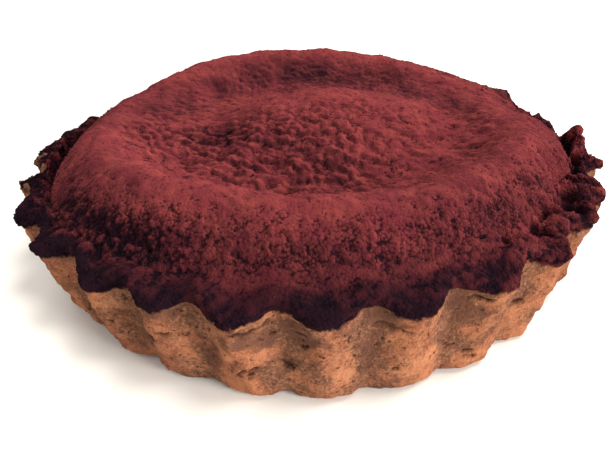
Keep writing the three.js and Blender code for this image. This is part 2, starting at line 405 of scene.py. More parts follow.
@dataclass(frozen=True)
class Grain:
    """Seeded noise in space, for what is too uneven for a formula: one number for each row of three."""

    seed: int

    def draw(self, cells: Array, salt: int) -> Array:
        """An even draw from 0 to 1 for each whole-numbered cell.

        Args:
            cells: whole numbers, in rows of three.
            salt: a number that sets one draw for a cell apart from another.

        Returns:
            One number a row.
        """
        key = np.bitwise_xor.reduce((cells.astype(np.int64) + CELL_OFFSET) * HASH_PRIMES, axis=-1)
        key = (key ^ (self.seed * SEED_STEP + salt * SALT_STEP)) & WORD
        for _ in range(2):
            key = ((key >> 16) ^ key) * HASH_MIXER & WORD
        return ((key >> 16) ^ key) / WORD

    def soft(self, points: Array, size: float) -> Array:
        """Soft noise from -1 to 1 with blobs of one size.

        Args:
            points: positions, in rows of three.
            size: the distance between blobs.

        Returns:
            One number a row.
        """
        place = points / size
        low = np.floor(place)
        part = smooth(place - low)
        total = np.zeros(len(points))
        for corner in np.ndindex(2, 2, 2):
            near = np.array(corner)
            weight = np.prod(np.where(near, part, 1 - part), axis=1)
            total += weight * self.draw(low + near, 1)
        return total * 2 - 1

    def layer(self, points: Array, noise: Noise) -> Array:
        """A layer's soft noise, with finer and weaker noise on it, each half the size of the last.

        Args:
            points: positions, in rows of three.
            noise: the layer.

        Returns:
            One number a row, before the layer's strength.
        """
        points = points * [1, 1, noise.flatten] + noise.shift
        total = np.zeros(len(points))
        for k in range(noise.octaves):
            total += OCTAVE_SHARE**k * self.soft(points + OCTAVE_SHIFT * k, noise.size / 2**k)
        return total

    def bent(self, points: Array, size: float, reach: float) -> Array:
        """The points moved about by soft noise, which makes what is drawn at them uneven."""
        shifts = [self.soft(points + BEND_SHIFT * (axis + 1), size) for axis in range(3)]
        return points + reach * np.stack(shifts, axis=1)

    def cells(self, place: Array, salt: int) -> Iterator[tuple[Array, Array]]:
        """The 27 cells round each place, one by one, and how far off the stone in each is.

        Args:
            place: positions in cell widths, in rows of three.
            salt: a number that sets one packing of stones apart from another.

        Yields:
            The cells and the distances to their stones.
        """
        low = np.floor(place)
        for corner in np.ndindex(3, 3, 3):
            cell = low + np.array(corner) - 1
            middle = np.stack([self.draw(cell, salt + axis) for axis in range(3)], axis=1)
            yield cell, np.linalg.norm(cell + middle - place, axis=1)

    def clumps(self, points: Array, size: float) -> tuple[Array, Array]:
        """Round clumps packed side by side.

        Args:
            points: positions, in rows of three.
            size: the distance between clumps.

        Returns:
            The distance to the nearest clump's middle, in clump sizes, and a draw for that clump.
        """
        nearest = np.full(len(points), 9.0)
        chosen = np.zeros(len(points))
        for cell, away in self.cells(points / size, 11):
            chosen = np.where(away < nearest, self.draw(cell, 17), chosen)
            nearest = np.minimum(nearest, away)
        return nearest, chosen

    def pebbles(self, points: Array, size: float, missing: Array | float) -> Array:
        """Round pebbles lying close together, some of them missing.

        Args:
            points: positions, in rows of three.
            size: the distance between pebbles.
            missing: the share of pebbles that is missing at each point.

        Returns:
            The height over the pebbles' middles, in pebble distances.
        """
        height = np.zeros(len(points))
        for cell, away in self.cells(points / size, 23):
            radius = lerp(*PEBBLE_RADII, self.draw(cell, 37))
            over = np.sqrt(np.maximum(radius**2 - away**2, 0))
            height = np.maximum(height, np.where(self.draw(cell, 31) > missing, over, 0))
        return height

    def stones(self, points: Array, kind: Stones, more_missing: Array | float = 0) -> Array:
        """A layer's pebbles, above or below its own level."""
        bent = self.bent(points + kind.shift, *kind.bend) * [1, 1, kind.flatten]
        return self.pebbles(bent, kind.size, kind.missing + more_missing) - kind.level


def hollow_depth(form: TartForm, points: Array) -> Array:
    """How deep the hollows at the seam are at each point, with uneven edges."""
    return spots(form.hollows, Grain(form.hollow_seed).bent(points, *form.hollow_bend))


# ---------------- meshes


def polar(angle: Array, radius: Array, height: Array) -> Array:
    """Points from angle, radius and height, along a new last axis."""
    return np.stack([radius * np.cos(angle), radius * np.sin(angle), height + 0 * radius], axis=-1)


def vertex_normals(points: Array, quads: Array) -> Array:
    """Unit normals at each point, from the faces that meet there.

    Args:
        points: positions, in rows of three.
        quads: rows of four point numbers.

    Returns:
        A normal for each point.
    """
    corner = points[quads]
    face = np.cross(corner[:, 2] - corner[:, 0], corner[:, 3] - corner[:, 1])
    total = np.zeros_like(points)
    for k in range(4):
        np.add.at(total, quads[:, k], face)
    return total / np.maximum(np.linalg.norm(total, axis=1, keepdims=True), 1e-9)


def place_object(name: str, data: Any) -> bpy.types.Object:
    """Makes an object of a mesh, light or camera and puts it in the scene."""
    made = bpy.data.objects.new(name, data)
    bpy.context.scene.collection.objects.link(made)
    return made


def make_mesh(name: str, points: Array, faces: list[Any], facts: dict[str, Array]) -> bpy.types.Object:
    """A smooth-shaded mesh object in the row frame.

    Args:
        name: the piece's name.
        points: positions in millimetres, in rows of three.
        faces: the faces' point numbers.
        facts: named numbers for each point, which the finishes read.

    Returns:
        The new object.
    """
    mesh = bpy.data.meshes.new(name)
    mesh.from_pydata((points * MM).tolist(), [], faces)
    for fact, values in facts.items():
        attribute = mesh.attributes.new(fact, "FLOAT", "POINT")
        attribute.data.foreach_set("value", np.asarray(values, np.float32))
    mesh.polygons.foreach_set("use_smooth", np.ones(len(mesh.polygons), bool))
    mesh.update()
    return place_object(name, mesh)


def ring_quads(rows: int, columns: int) -> Array:
    """The quads of a grid that closes on itself, row by row upwards, facing outwards.

    Args:
        rows: how many rows of points it has.
        columns: how many points a row has.

    Returns:
        Rows of four point numbers.
    """
    row, column = np.meshgrid(np.arange(rows - 1), np.arange(columns), indexing="ij")
    after = (column + 1) % columns
    quads = [row * columns + column, row * columns + after]
    quads += [(row + 1) * columns + after, (row + 1) * columns + column]
    return np.stack(quads, axis=-1).reshape(-1, 4)


# ---------------- the case


@dataclass(frozen=True)
class Mark:
    """A crack, pit or ledge at its own place on the wall; lengths are millimetres."""

    angle: float
    height: float
    half_length: float
    tilt: float
    depth: float  # under nothing where it stands out
    width: float = 0.28


@dataclass
class Coat:
    """The noises of the cocoa at each point of the case."""

    crumbly: Array
    torn: Array
    rough: Array  # 1, and less where it lies calm
    powder: Array
    pebble: Array
    crumb: Array
    crags: Array


@dataclass
class Case:
    """The fluted shortcrust case, with its cocoa-covered lip."""

    form: TartForm
    columns_per_flute: int = 36
    foot_shares: tuple[float, ...] = (0, 0.02, 0.045, 0.075)  # rows low on the wall, where it is rounded
    wall_rows: int = 44
    lip_rows: int = 13
    top_rows: int = 14
    lip_tuck_deg: float = -52.0  # how far under, the lip's round turns back to the wall
    tip_share: float = 0.36  # how high up the lip its tip lies
    seam_overlap: float = 0.5
    cover: float = 1.7  # how far the cocoa on the lip reaches up the filling's slope
    cover_sink: float = 0.5  # how far it dips into the slope at its end
    cover_lift: float = 0.05  # how far it lies above the slope
    round_share: float = 0.4  # how much of the way up the lip its outer round takes
    well_above: float = 5.0  # how far above the cocoa's edge all the rest counts as lying
    blend: float = 0.9  # how softly lip and slope meet
    cocoa_reach: float = 0.4  # how far below the edge the cocoa still covers the wall
    hem_fade: float = 0.7  # how softly its relief ends there
    flat_foot: float = 1.2  # the relief fades to nothing below this height
    dents: Noise = Noise(6.5, 0.38)
    grit: Noise = Noise(1.5, 0.2, 3)
    folds: Noise = Noise(3.4, 0.3, 2, 40, 1.8)
    flakes: Stones = Stones(2.6, 0.24, 0.45, 0.25, (2, 0.8), 0, 1.6)
    pit_mm: float = 2.2  # how far apart the wall's pits can lie
    pitted: float = 0.28  # the share of those places with a pit
    pit_radius: float = 0.19  # a share of pit_mm
    pit_depth: float = 0.45
    powder: Noise = Noise(1.1, 0.26, 3)
    patches: Noise = Noise(5, 0.12)
    crags: Noise = Noise(2.8, 0.8, 3, 50)
    crag_level: float = 0.3  # the height of the crags that counts as flat
    pebbles: Stones = Stones(1.3, 0.34, 0.25, 0.45, (1.6, 0.6), 7)
    crumbs: Stones = Stones(0.9, 0.34, 0.25, 0.4, (1.1, 0.4), 9)
    torn: Rows = ((-42, 38, 0.55),)  # where the rim is torn
    calm: Rows = ((-93, 46, 1.0), (150, 14, 1.3))  # where the cocoa lies smooth on it
    calmness: float = 0.75
    dusted: Rows = (
        (-25, 45, 1.5), (11, 15, 1.8), (-9, 12, 2.2), (-53, 20, 1), (-84, 9, -0.4), (-104, 8, 0.15),
    )  # where more dry cocoa lies on the rim
    shaded: Rows = ((-145, 36, 1.0),)  # where the rim's outer half is darker
    edge_tone: float = 0.97  # the cocoa's tone at its edge on the wall, and on top of the rim
    top_tone: float = 0.58
    edge_reach: float = 0.22  # how far up the lip the dark edge reaches, and how softly it ends
    edge_fade: float = 0.42
    hem_reach: float = 0.05  # how much further for each millimetre that the cocoa ends higher
    shade_reach: float = 0.1  # how much further up it reaches where the rim is darker
    shade_tone: float = 0.3
    shade_end: float = 0.3  # how far up the lip that starts to end, and how softly
    shade_fade: float = 0.15
    notch_tone: float = 0.12
    dusted_tone: float = 0.22
    crumbly_tone: float = 0.06
    bare_start: float = 0.42  # how far up the lip little cocoa lies, and how softly that starts
    bare_fade: float = 0.25
    dent_share: float = 0.5  # how much of the wall's dents shows under the cocoa
    # In each row of weights the first holds everywhere and the others weigh what is named after it.
    craggy: Weights = (0, 0.3, 0.6, 1)  # rough, crumbly and torn places
    crumbed: Weights = (0, 0.3, 1, 1)  # the same
    clump_tone: Weights = (0, 0.3, 0.45)  # powder, pebbles; paler where they stand high, which paints shade into the low places
    broken: Weights = (0, 1, 0.6)  # crumbly and torn places
    broken_tone: Weights = (-0.035, 0.6, 0.7)  # crumbs, crags; the same painted shade in the low places
    bare_tone: Weights = (0.41, -0.6, -0.25)  # pebbles, powder; the same painted shade in the low places
    pitting: Weights = (0.25, 0.42, 0.3, 0.5, -0.1)  # crumbly, bare, torn and dusted places
    collar: float = 0.3  # how far a ledge of crust stands out under the cocoa's edge
    collar_height: float = 2.4
    collar_rows: Rows = ((-88, 42, 1.0),)  # where it does
    # (angle, radius, half width, height) of the crumbs that stand up on the rim
    knobs: Spots = ((14.5, 56, 2.8, 1.6), (8.3, 54.2, 2, 1.5), (26.6, 56.2, 4, 0.9))
    sunken: Rows = ((157, 11, 1.5),)  # how far the rim has sunk
    hems: Rows = (
        (-76.2, 8, 1.9), (-63.4, 8, 2.2), (-102, 8, 1.3), (-110, 5, 0.8), (-122, 5, -0.5),
    )  # how much higher the cocoa ends on the wall
    # (angle, radius, half width, strength) of the places on the rim that the cocoa has come off
    bared: Spots = (
        (-162, 57.7, 2.6, 1), (-167, 57.6, 3, 1), (-171, 56, 3, 1), (-177, 57.6, 3, 1), (-184, 58, 2, 1),
    )
    bared_depth: float = 6.0  # how far below the cocoa's edge they count as lying
    bared_stain: float = 0.7  # how much darker the crust is there
    # (angle, height, half width, half height, how much darker) of the patches on the wall: partly the crust's
    # own browner and greyer patches, partly painted light and shade; the pale ones low on the wall and on its
    # lit flanks are painted light
    stains_and_light: tuple[tuple[float, float, float, float, float], ...] = (
        (-93.2, 14, 4, 3.2, 1), (-107.8, 8.4, 3, 3, 0.8), (-122.8, 9, 3, 3.5, 0.1),
        (-80.8, 16.6, 5, 3.4, 1.2), (-77.5, 16, 3.5, 1.4, 0.3), (-113, 16.8, 3.5, 2.2, 0.6),
        (-94.5, 8.2, 2, 1.8, 0.8), (-82.8, 9, 3.2, 6, 0.7), (-99.5, 13.8, 3.4, 3, 0.9),
        (-88.8, 14.3, 2.4, 2.2, 0.5), (-67.2, 12.6, 3.2, 4, 1), (-68.5, 15.5, 3.5, 3.5, 0.9),
        (-107, 13.5, 2.5, 3, -0.5), (-99.8, 14.5, 3, 3, 1), (-78, 15.5, 3, 2.2, 1), (-119.5, 6, 3, 4, 0.5),
        (-126.5, 3, 4, 2.5, 0.7), (-71, 9, 2.4, 3, 0.6), (-64, 16.4, 3, 2.6, -0.5), (-86.8, 9, 3.6, 7, -0.95),
        (-76, 7, 3.8, 5.5, -1), (-89.5, 4.5, 5, 3.5, -0.2), (-66, 3, 7, 3, -0.4), (-51.5, 6, 5, 7, -0.3),
        (-112, 4.5, 6, 3, -0.3), (-125, 14.5, 4, 3, -0.6),
    )
    stain_and_light_edge: float = 1.25  # above 1, a patch is even in the middle
    stain_and_light_range: Pair = (-1.7, 1)  # the palest and the darkest
    stain_and_light_bends: tuple[Pair, ...] = ((2.4, 1.6), (0.9, 0.7))  # the noise that makes their edges uneven
    bared_bend: Pair = (1.2, 0.9)
    mark_bend: float = 0.15  # how far a crack wavers
    mark_end: float = 0.25  # how softly it ends
    grain: Grain = Grain(5)
    marks: tuple[Mark, ...] = (
        Mark(-103.4, 16.2, 1.6, -12, 0.35), Mark(-100.6, 15.9, 1.5, 0, 0.5), Mark(-98.4, 16.3, 1.2, 14, 0.35),
        Mark(-114, 12.3, 1, -8, 0.6), Mark(-114.2, 12.9, 1.3, -6, -0.35), Mark(-92.3, 12.4, 0.3, 0, 0.6),
        Mark(-92.6, 15.1, 0.5, 0, 0.5), Mark(-94.6, 8, 0.6, 0, 0.3, 0.5), Mark(-96.6, 13.9, 0.4, 0, 0.4),
        Mark(-99.9, 7.4, 0.5, 10, 0.45), Mark(-102.3, 6.1, 0.3, 0, 0.5), Mark(-100.6, 5.6, 0.3, 0, 0.45),
        Mark(-65.6, 16, 0.9, -10, 0.5), Mark(-58.6, 12.2, 1.2, 0, 0.55), Mark(-69.8, 7.2, 0.3, 0, 0.4),
        Mark(-118.8, 14, 0.6, 0, 0.4), Mark(-118, 9, 1.6, 30, 0.35, 0.8), Mark(-125.8, 9.9, 0.5, 20, 0.5),
        Mark(-136, 7.5, 1.2, 60, 0.5), Mark(-78.8, 14.5, 1.4, -16, 0.3), Mark(-81, 15.3, 1, 12, 0.25),
        Mark(-65.5, 3.8, 0.9, 0, 0.3), Mark(-101.8, 7, 0.5, 20, 0.45), Mark(-100.5, 6.4, 0.3, 0, 0.5, 0.35),
        Mark(-136.8, 2.6, 0.6, 50, 0.5, 0.4), Mark(-66, 16, 0.7, -20, 0.55, 0.35),
        Mark(-66.2, 5.1, 0.5, 0, 0.45, 0.35), Mark(-55.8, 9.7, 1.1, 0, 0.6, 0.35),
        Mark(-94.8, 7.6, 0.6, -30, 0.5, 0.35), Mark(-113.5, 11.9, 0.7, 0, 0.35),
        Mark(-78.8, 6, 0.3, 0, 0.4, 0.35), Mark(-68.8, 6.8, 0.4, 0, 0.4),
    )

    def section(self, angle: Array) -> tuple[Array, Array, Array]:
        """The case's section from the foot of the outer wall up, over the lip and down inside.

        Args:
            angle: the columns' angles in radians.

        Returns:
            Points and, for each, how far it lies above the cocoa's edge and how far up the lip, 0 on the
            wall to 1 at the seam, and 2 inside.
        """
        form = self.form
        edge, shut = form.edge(angle), form.shut(angle)
        rows = []

        def add(radius: Array, height: Array, above: Array | float, lip: float) -> None:
            """Adds a row of points with their facts."""
            rows.append((polar(angle, radius, height), above + 0 * angle, lip + 0 * angle))

        for share in self.foot_shares + tuple(np.linspace(0.11, 1, self.wall_rows, endpoint=False)):
            add(form.wall(angle, share), share * edge, (share - 1) * edge + self.cocoa_reach, 0)
        rise = form.lip_crown + form.lip_rise
        top = edge + rise
        seam_top = np.minimum(top, form.seam_height + waves(form.height_waves, angle))
        seam = form.seam(angle, seam_top) + form.crevice(angle, seam_top) - self.seam_overlap / 2
        inner = seam - self.cover * shut
        outer = form.rim(angle) + form.lip_overhang
        shoulder = np.maximum(outer - form.lip_shoulder, lerp(seam, outer, form.lip_narrowest))
        tuck = math.radians(self.lip_tuck_deg)
        tip = edge + self.tip_share * rise
        under = (tip - edge) / math.sin(-tuck)
        for turn in np.linspace(tuck, math.pi / 2, self.lip_rows):
            reach = top - tip if turn > 0 else under
            out = lerp(shoulder, outer, math.cos(turn)) if turn > 0 else outer
            back = form.lip_overhang * (1 - math.cos(turn)) / (1 - math.cos(tuck)) if turn < 0 else 0
            above = self.cocoa_reach + (turn - tuck) * form.lip_shoulder / 2
            lip = self.round_share * (turn - tuck) / (math.pi / 2 - tuck)
            add(out - back, tip + reach * math.sin(turn), above, lip)
        rim = form.filling_rim(angle, self.seam_overlap)
        for share in np.linspace(0, 1, self.top_rows + 1)[1:]:
            radius = lerp(shoulder, inner, share)
            across = np.clip((shoulder - radius) / (shoulder - seam), 0, 1)
            band = lerp(top, seam_top, across) + form.lip_crown * np.sin(math.pi * across)
            slope = form.filling(angle, radius, rim) + self.cover_lift
            joined = 0.5 * (band + slope + np.sqrt((band - slope) ** 2 + self.blend**2))
            joined -= self.cover_sink * smooth((share - 0.7) / 0.3)
            lip = self.round_share + (1 - self.round_share) * share
            add(radius, lerp(band, joined, shut), self.well_above, lip)
        for height in (0.75, 0.5, 0.25, 0):
            level = lerp(form.crevice_floor, seam_top - 0.4, height)
            radius = form.seam(angle, level) + form.crevice(angle, level) - self.seam_overlap / 2
            add(radius, level, self.well_above, 2)
        points, above, lip = (np.array(part) for part in zip(*rows))
        return points, above, lip

    def along(self, points: Array, middle: float) -> Array:
        """How far along the wall each point lies from an angle in degrees."""
        angle = np.degrees(np.arctan2(points[:, 1], points[:, 0]))
        return np.radians(angle - middle) * self.form.rim_notch_radius

    def stained_and_lit(self, points: Array) -> Array:
        """How much darker, or under nothing how much paler, the wall is at each point.

        Args:
            points: positions, in rows of three.

        Returns:
            One number a row.
        """
        total = np.zeros(len(points))
        for middle, height, half_width, half_height, strength in self.stains_and_light:
            away = np.hypot(self.along(points, middle) / half_width, (points[:, 2] - height) / half_height)
            total += strength * smooth(self.stain_and_light_edge * (1 - away))
        return np.clip(total, *self.stain_and_light_range)

    def mark_depth(self, points: Array) -> Array:
        """How deep the cracks and pits cut the wall at each point.

        Args:
            points: positions, in rows of three.

        Returns:
            The depth of each, under nothing where a ledge stands out.
        """
        depth = np.zeros(len(points))
        for mark in self.marks:
            along = self.along(points, mark.angle)
            bend = self.mark_bend * np.sin(along * 3 + mark.height)
            across = points[:, 2] - mark.height - along * math.tan(math.radians(mark.tilt)) - bend
            past = np.maximum(np.abs(along) - mark.half_length, 0)
            cut = mark.depth * np.exp(-((past / self.mark_end) ** 2) - (across / mark.width) ** 2)
            depth = np.where(np.abs(cut) > np.abs(depth), cut, depth)
        return depth

    def coat(self, points: Array, around: Array) -> Coat:
        """The cocoa's noises at each point of the case.

        Args:
            points: positions, in rows of three.
            around: each one's angle in radians.

        Returns:
            The noises.
        """
        grain = self.grain
        return Coat(
            crumbly=humps(self.form.crumbly, around) / 2,
            torn=humps(self.torn, around),
            rough=1 - self.calmness * humps(self.calm, around),
            powder=grain.layer(points, self.powder),
            pebble=grain.stones(points, self.pebbles),
            crumb=grain.stones(points, self.crumbs),
            crags=np.abs(grain.layer(points, self.crags)) - self.crag_level,
        )

    def wall_relief(self, points: Array, above: Array, around: Array, dents: Array) -> tuple[Array, Array]:
        """The bare wall's relief.

        Args:
            points: positions, in rows of three.
            above: how far each lies above the cocoa's edge.
            around: each one's angle in radians.
            dents: the shallow dents that wall and rim share.

        Returns:
            The relief in millimetres, and how much painted shade darkens its pits and cracks.
        """
        grain = self.grain
        near, draw = grain.clumps(points, self.pit_mm)
        pits = np.where(draw < self.pitted, np.clip(1 - near / self.pit_radius, 0, 1), 0)
        marks = self.mark_depth(points)
        hem = (above + self.collar_height + 0.5 * grain.soft(points, 3.0)) / 0.4
        collar = self.collar * smooth(hem) * humps(self.collar_rows, around)
        relief = dents + self.grit.strength * grain.layer(points, self.grit)
        relief += self.folds.strength * grain.layer(points, self.folds)
        relief += self.flakes.strength * grain.stones(points, self.flakes)
        relief += collar * smooth(self.form.flute(around) * 2) - self.pit_depth * pits - marks
        return relief, pits * 1.3 + np.maximum(marks, 0) * 2.2

    def cocoa_relief(self, coat: Coat, dents: Array) -> Array:
        """The relief of the cocoa on the rim, from its noises and the dents under it."""
        pebbles = self.pebbles.strength * coat.pebble + self.powder.strength * coat.powder
        places = (coat.rough, coat.crumbly, coat.torn)
        crags = self.crags.strength * coat.crags * weighed(self.craggy, *places)
        crumbs = self.crumbs.strength * coat.crumb * weighed(self.crumbed, *places)
        return pebbles * coat.rough + self.dent_share * dents + crags + crumbs

    def cocoa_facts(self, points: Array, around: Array, lip: Array, coat: Coat) -> dict[str, Array]:
        """How dark and how pitted the cocoa on the rim is, with painted shade in its low places and down the
        crevice.

        Args:
            points: positions, in rows of three.
            around: each one's angle in radians.
            lip: how far up the lip each lies.
            coat: the cocoa's noises.

        Returns:
            The facts "tone", from dry at 0 to near black at 1, and "pitting".
        """
        shaded, dusted = humps(self.shaded, around), humps(self.dusted, around)
        bare = humps(self.form.bare_front, around)
        start = self.edge_reach + self.hem_reach * humps(self.hems, around) + self.shade_reach * shaded
        up = smooth((lip - start) / self.edge_fade)
        tone = lerp(self.edge_tone, self.top_tone - self.shade_reach * shaded, up)
        tone += self.patches.strength * self.grain.layer(points, self.patches)
        tone -= self.notch_tone * (1 - self.form.flute(around))
        tone += self.shade_tone * shaded * (1 - smooth((lip - self.shade_end) / self.shade_fade))
        tone += self.crumbly_tone * coat.crumbly - self.dusted_tone * dusted
        # painted shade and painted light: the cocoa is paler on its high clumps and crumbs and darker in the
        # low places between them
        tone -= weighed(self.clump_tone, coat.powder, coat.pebble) * coat.rough * (1 - 0.5 * bare)
        broken = weighed(self.broken, coat.crumbly, coat.torn)
        tone -= broken * weighed(self.broken_tone, coat.crumb, coat.crags)
        bare *= smooth((lip - self.bare_start) / self.bare_fade)
        # painted shade: the case's inner side, down the crevice, goes deep
        tone += smooth(lip - 1) + bare * weighed(self.bare_tone, coat.pebble, coat.powder)
        pitting = weighed(self.pitting, coat.crumbly, bare, coat.torn, dusted)
        return {"tone": np.clip(tone, 0, 1), "pitting": pitting}

    def build(self) -> bpy.types.Object:
        """Makes the case's mesh with its relief."""
        form, grain = self.form, self.grain
        columns = form.flutes * self.columns_per_flute
        angle = math.radians(form.first_lobe_deg) + np.arange(columns) * TAU / columns
        grid, above, lip = self.section(angle)
        points = grid.reshape(-1, 3)
        above, lip = above.ravel(), lip.ravel()
        quads = ring_quads(len(grid), columns)
        normals = vertex_normals(points, quads)
        around = np.arctan2(points[:, 1], points[:, 0])
        above -= humps(self.hems, around)
        coated = smooth(above / self.hem_fade)
        coat = self.coat(points, around)
        dents = self.dents.strength * grain.layer(points, self.dents)
        bare, painted_shade = self.wall_relief(points, above, around, dents)
        bared = spots(self.bared, grain.bent(points, *self.bared_bend))
        bent = points
        for bend in self.stain_and_light_bends:
            bent = grain.bent(bent, *bend)
        facts = {
            "above": above - self.bared_depth * bared,
            # the crust's own patches, with painted light in the paler ones
            "stain_and_light": lerp(self.stained_and_lit(bent), self.bared_stain, bared),
            "notch": 1 - form.flute(around),
            "relief": lerp(grain.layer(points, self.grit), coat.powder + coat.pebble - 0.05, coated),
            **self.cocoa_facts(points, around, lip, coat),
        }
        relief = lerp(bare, self.cocoa_relief(coat, dents), coated) * smooth(points[:, 2] / self.flat_foot)
        points = points + normals * relief[:, None]
        hollow = hollow_depth(form, points) * coated
        points[:, 2] = np.maximum(points[:, 2] - hollow, 0)
        points[:, 2] += (spots(self.knobs, points) - humps(self.sunken, around)) * coated
        # painted shade: near black in the wall's pits and cracks and in the seam hollows
        facts["hollow"] = np.clip(painted_shade + 0.9 * smooth(hollow / 1.5), 0, 1)
        facts["strewn"] = coated * (0.35 + coat.crumbly) * smooth(lip / 0.1) * (1 - smooth(hollow))
        under, inside = len(points), len(points) + 1
        points = np.vstack([points, [(0, 0, 0), (0, 0, form.crevice_floor)]])
        last = (len(grid) - 1) * columns
        faces = quads.tolist()
        for k in range(columns):
            after = (k + 1) % columns
            faces += [(under, after, k), (inside, last + k, last + after)]
        facts = {name: np.concatenate([values, np.zeros(2)]) for name, values in facts.items()}
        return make_mesh("shortcrust_case", points, faces, facts)


# ---------------- the filling


@dataclass
class TopPlace:
    """Where each point of the filling's top lies, and its share in each zone from 0 to 1."""

    angle: Array
    radius: Array
    past: Array  # millimetres outwards from the ring's crest
    down: Array  # the share of the way from there to the edge
    slope: Array
    crest: Array
    lumpy: Array  # the pebbly middle
    bare: Array  # the slope where little cocoa lies
    front: Array
    fine: Array


@dataclass
class TopCoat:
    """The noises of the cocoa at each point of the filling's top."""

    patch: Array
    lump: Array
    small: Array
    crumb: Array
    powder: Array


@dataclass
class Filling:
    """The set chocolate filling under its layer of sieved cocoa."""

    form: TartForm
    squares: int = 304
    side_rows: int = 4
    seam_overlap: float = 0.5
    tuck: float = 0.5  # how far the edge dips under the lip where they meet
    tuck_share: float = 0.015  # the share of the radius in which it does
    lumps: Stones = Stones(2.1, 1.1, 0.1, 0.5, (1.8, 0.7))
    crumbs: Stones = Stones(0.88, 0.42, 0.15, 0.45, (1.1, 0.4), 5)
    powder: Noise = Noise(1, 0.3)
    patches: Noise = Noise(9, 0.08, 2, 3)
    drifts: Noise = Noise(5, 0.16, 2, 9)
    swells: Noise = Noise(2.2, 0.13, 2, 29)
    crest_in: float = 1.5  # how far inside the ring's crest its smooth band lies
    crest_half: float = 4.2  # half its width
    lumpy_reach: float = 9.0  # how far from the crest the middle is fully pebbly
    bare_start: float = 3.5  # how far down the slope little cocoa lies, and how softly that starts
    bare_fade: float = 5.0
    fine: Rows = ((-15, 32, 1.0),)  # where the cocoa on the slope is finer
    sandy: Rows = ((-15, 75, 1.0),)  # where the ring is as rough as the slope
    front: Rows = ((-95, 60, 1.0), (-48, 32, 0.7))
    slope_lit: Rows = ((-135, 24, 1.8),)  # how much lower the bare front starts
    ring_shade: Rows = ((85, 110, 0.42),)  # how much painted shade darkens a band on the slope inside the ring, most at the back
    ring_shade_radius: float = 30.5
    ring_shade_half: float = 6.0
    ring_shade_in: Rows = ((52, 48, 3.0),)  # how much further in it lies
    painted_light_from: Triple = (0.55, 0.83, 0.0)  # the way the painted light comes from, the back right: the sides facing away from it get painted shade
    lee_shade: float = 1.2  # how much painted shade darkens the large forms on their sides facing away, and the small ones
    fine_lee_shade: float = 0.85
    thickest: float = 0.06  # the tone where the cocoa lies thickest
    # In each row of weights the first holds everywhere and the others weigh what is named after it.
    coarse: Weights = (0.3, -0.18, 0.4, 0.6)  # the crest, the slope and the bare front
    dusty: Weights = (0.5, -0.25, 0.3, 0.6)  # the crest, the front of the slope and the bare front
    bare_tone: Weights = (0.7825, -0.75, -0.3)  # crumbs, powder; paler where they stand high, which paints shade into the low places
    slope_pitting: Weights = (0.18, 0.16, -0.1)  # the front and the fine part
    pitting: Weights = (0.08, 1, 0.4, 0.05)  # the slope, the bare front and the pebbly middle
    strewn: Weights = (0.25, 0.5, 0.5)  # the slope and the bare front
    fineness: float = 0.45
    slope_tone: float = 0.17  # how much darker the slope is at its foot
    # (x, y, half width, how much darker, paler where under nothing) of spots on the top: partly uneven cocoa,
    # partly painted shade and painted light
    cocoa_and_shade_spots: Spots = (
        (-21, -4, 8.5, 0.35), (-31, 9, 8, 0.15), (-40, 3, 13, 0.26), (-33, 14, 11, 0.3), (31, 10, 8, 0.28),
        (22, 18, 8, 0.22), (4, 2, 17, -0.12), (27, -26, 11, 0.14), (44, -10, 9, 0.1), (32, -6, 10, -0.12),
        (20, -44, 12, 0.1), (38, -34, 12, 0.12), (13, -15, 15, -0.14), (24, -4, 9, -0.08), (6, 1, 14, -0.08),
        (-3, 6, 14, -0.1), (-39, -26, 8, 0.2), (37, 8, 8, 0.12), (19, -21, 8, -0.12), (10, 40, 9, -0.12),
        (2, -53, 6, 0.2), (42, -28, 9, -0.14), (0, -52, 7, 0.1), (-8, -48, 10, 0.1), (-22, -48, 8, -0.12),
        (-30, -35, 7.5, 0.26), (-28.5, -41.5, 5.5, -0.14), (18, -50.5, 6, 0.2), (-4, -29, 6.5, 0.2),
        (2, -33, 6, 0.2), (-4.5, -44.5, 5, -0.2), (-17, -39.5, 6, -0.25), (25.5, -37, 7, 0.1),
    )
    smooth_back: float = 3.0  # the swell is smooth from here backwards
    smooth_right: float = 7.0  # and smoother from here to the right
    grain: Grain = Grain(12)

    def disc(self) -> tuple[Array, Array, Array, Array]:
        """A round grid of even squares.

        Returns:
            Each point's angle, its share of the radius, the quads, and the numbers of the edge's points
            in order round the disc.
        """
        n = self.squares
        line = np.linspace(-1, 1, n + 1)
        a, b = np.meshgrid(line, line, indexing="ij")
        radius = np.maximum(np.abs(a), np.abs(b))
        across = np.abs(a) >= np.abs(b)
        turn = (math.pi / 4) * b / np.where(across & (a != 0), a, 1) + np.where(a < 0, math.pi, 0)
        other = math.pi / 2 - (math.pi / 4) * a / np.where(across, 1, b) + np.where(b < 0, math.pi, 0)
        angle = np.where(across, turn, other)
        number = np.arange((n + 1) ** 2).reshape(n + 1, n + 1)
        quads = [number[:-1, :-1], number[1:, :-1], number[1:, 1:], number[:-1, 1:]]
        quads = np.stack(quads, axis=-1).reshape(-1, 4)
        edge = np.concatenate([number[n, :-1], number[:0:-1, n], number[0, :0:-1], number[:-1, 0]])
        return angle.ravel(), radius.ravel(), quads, edge

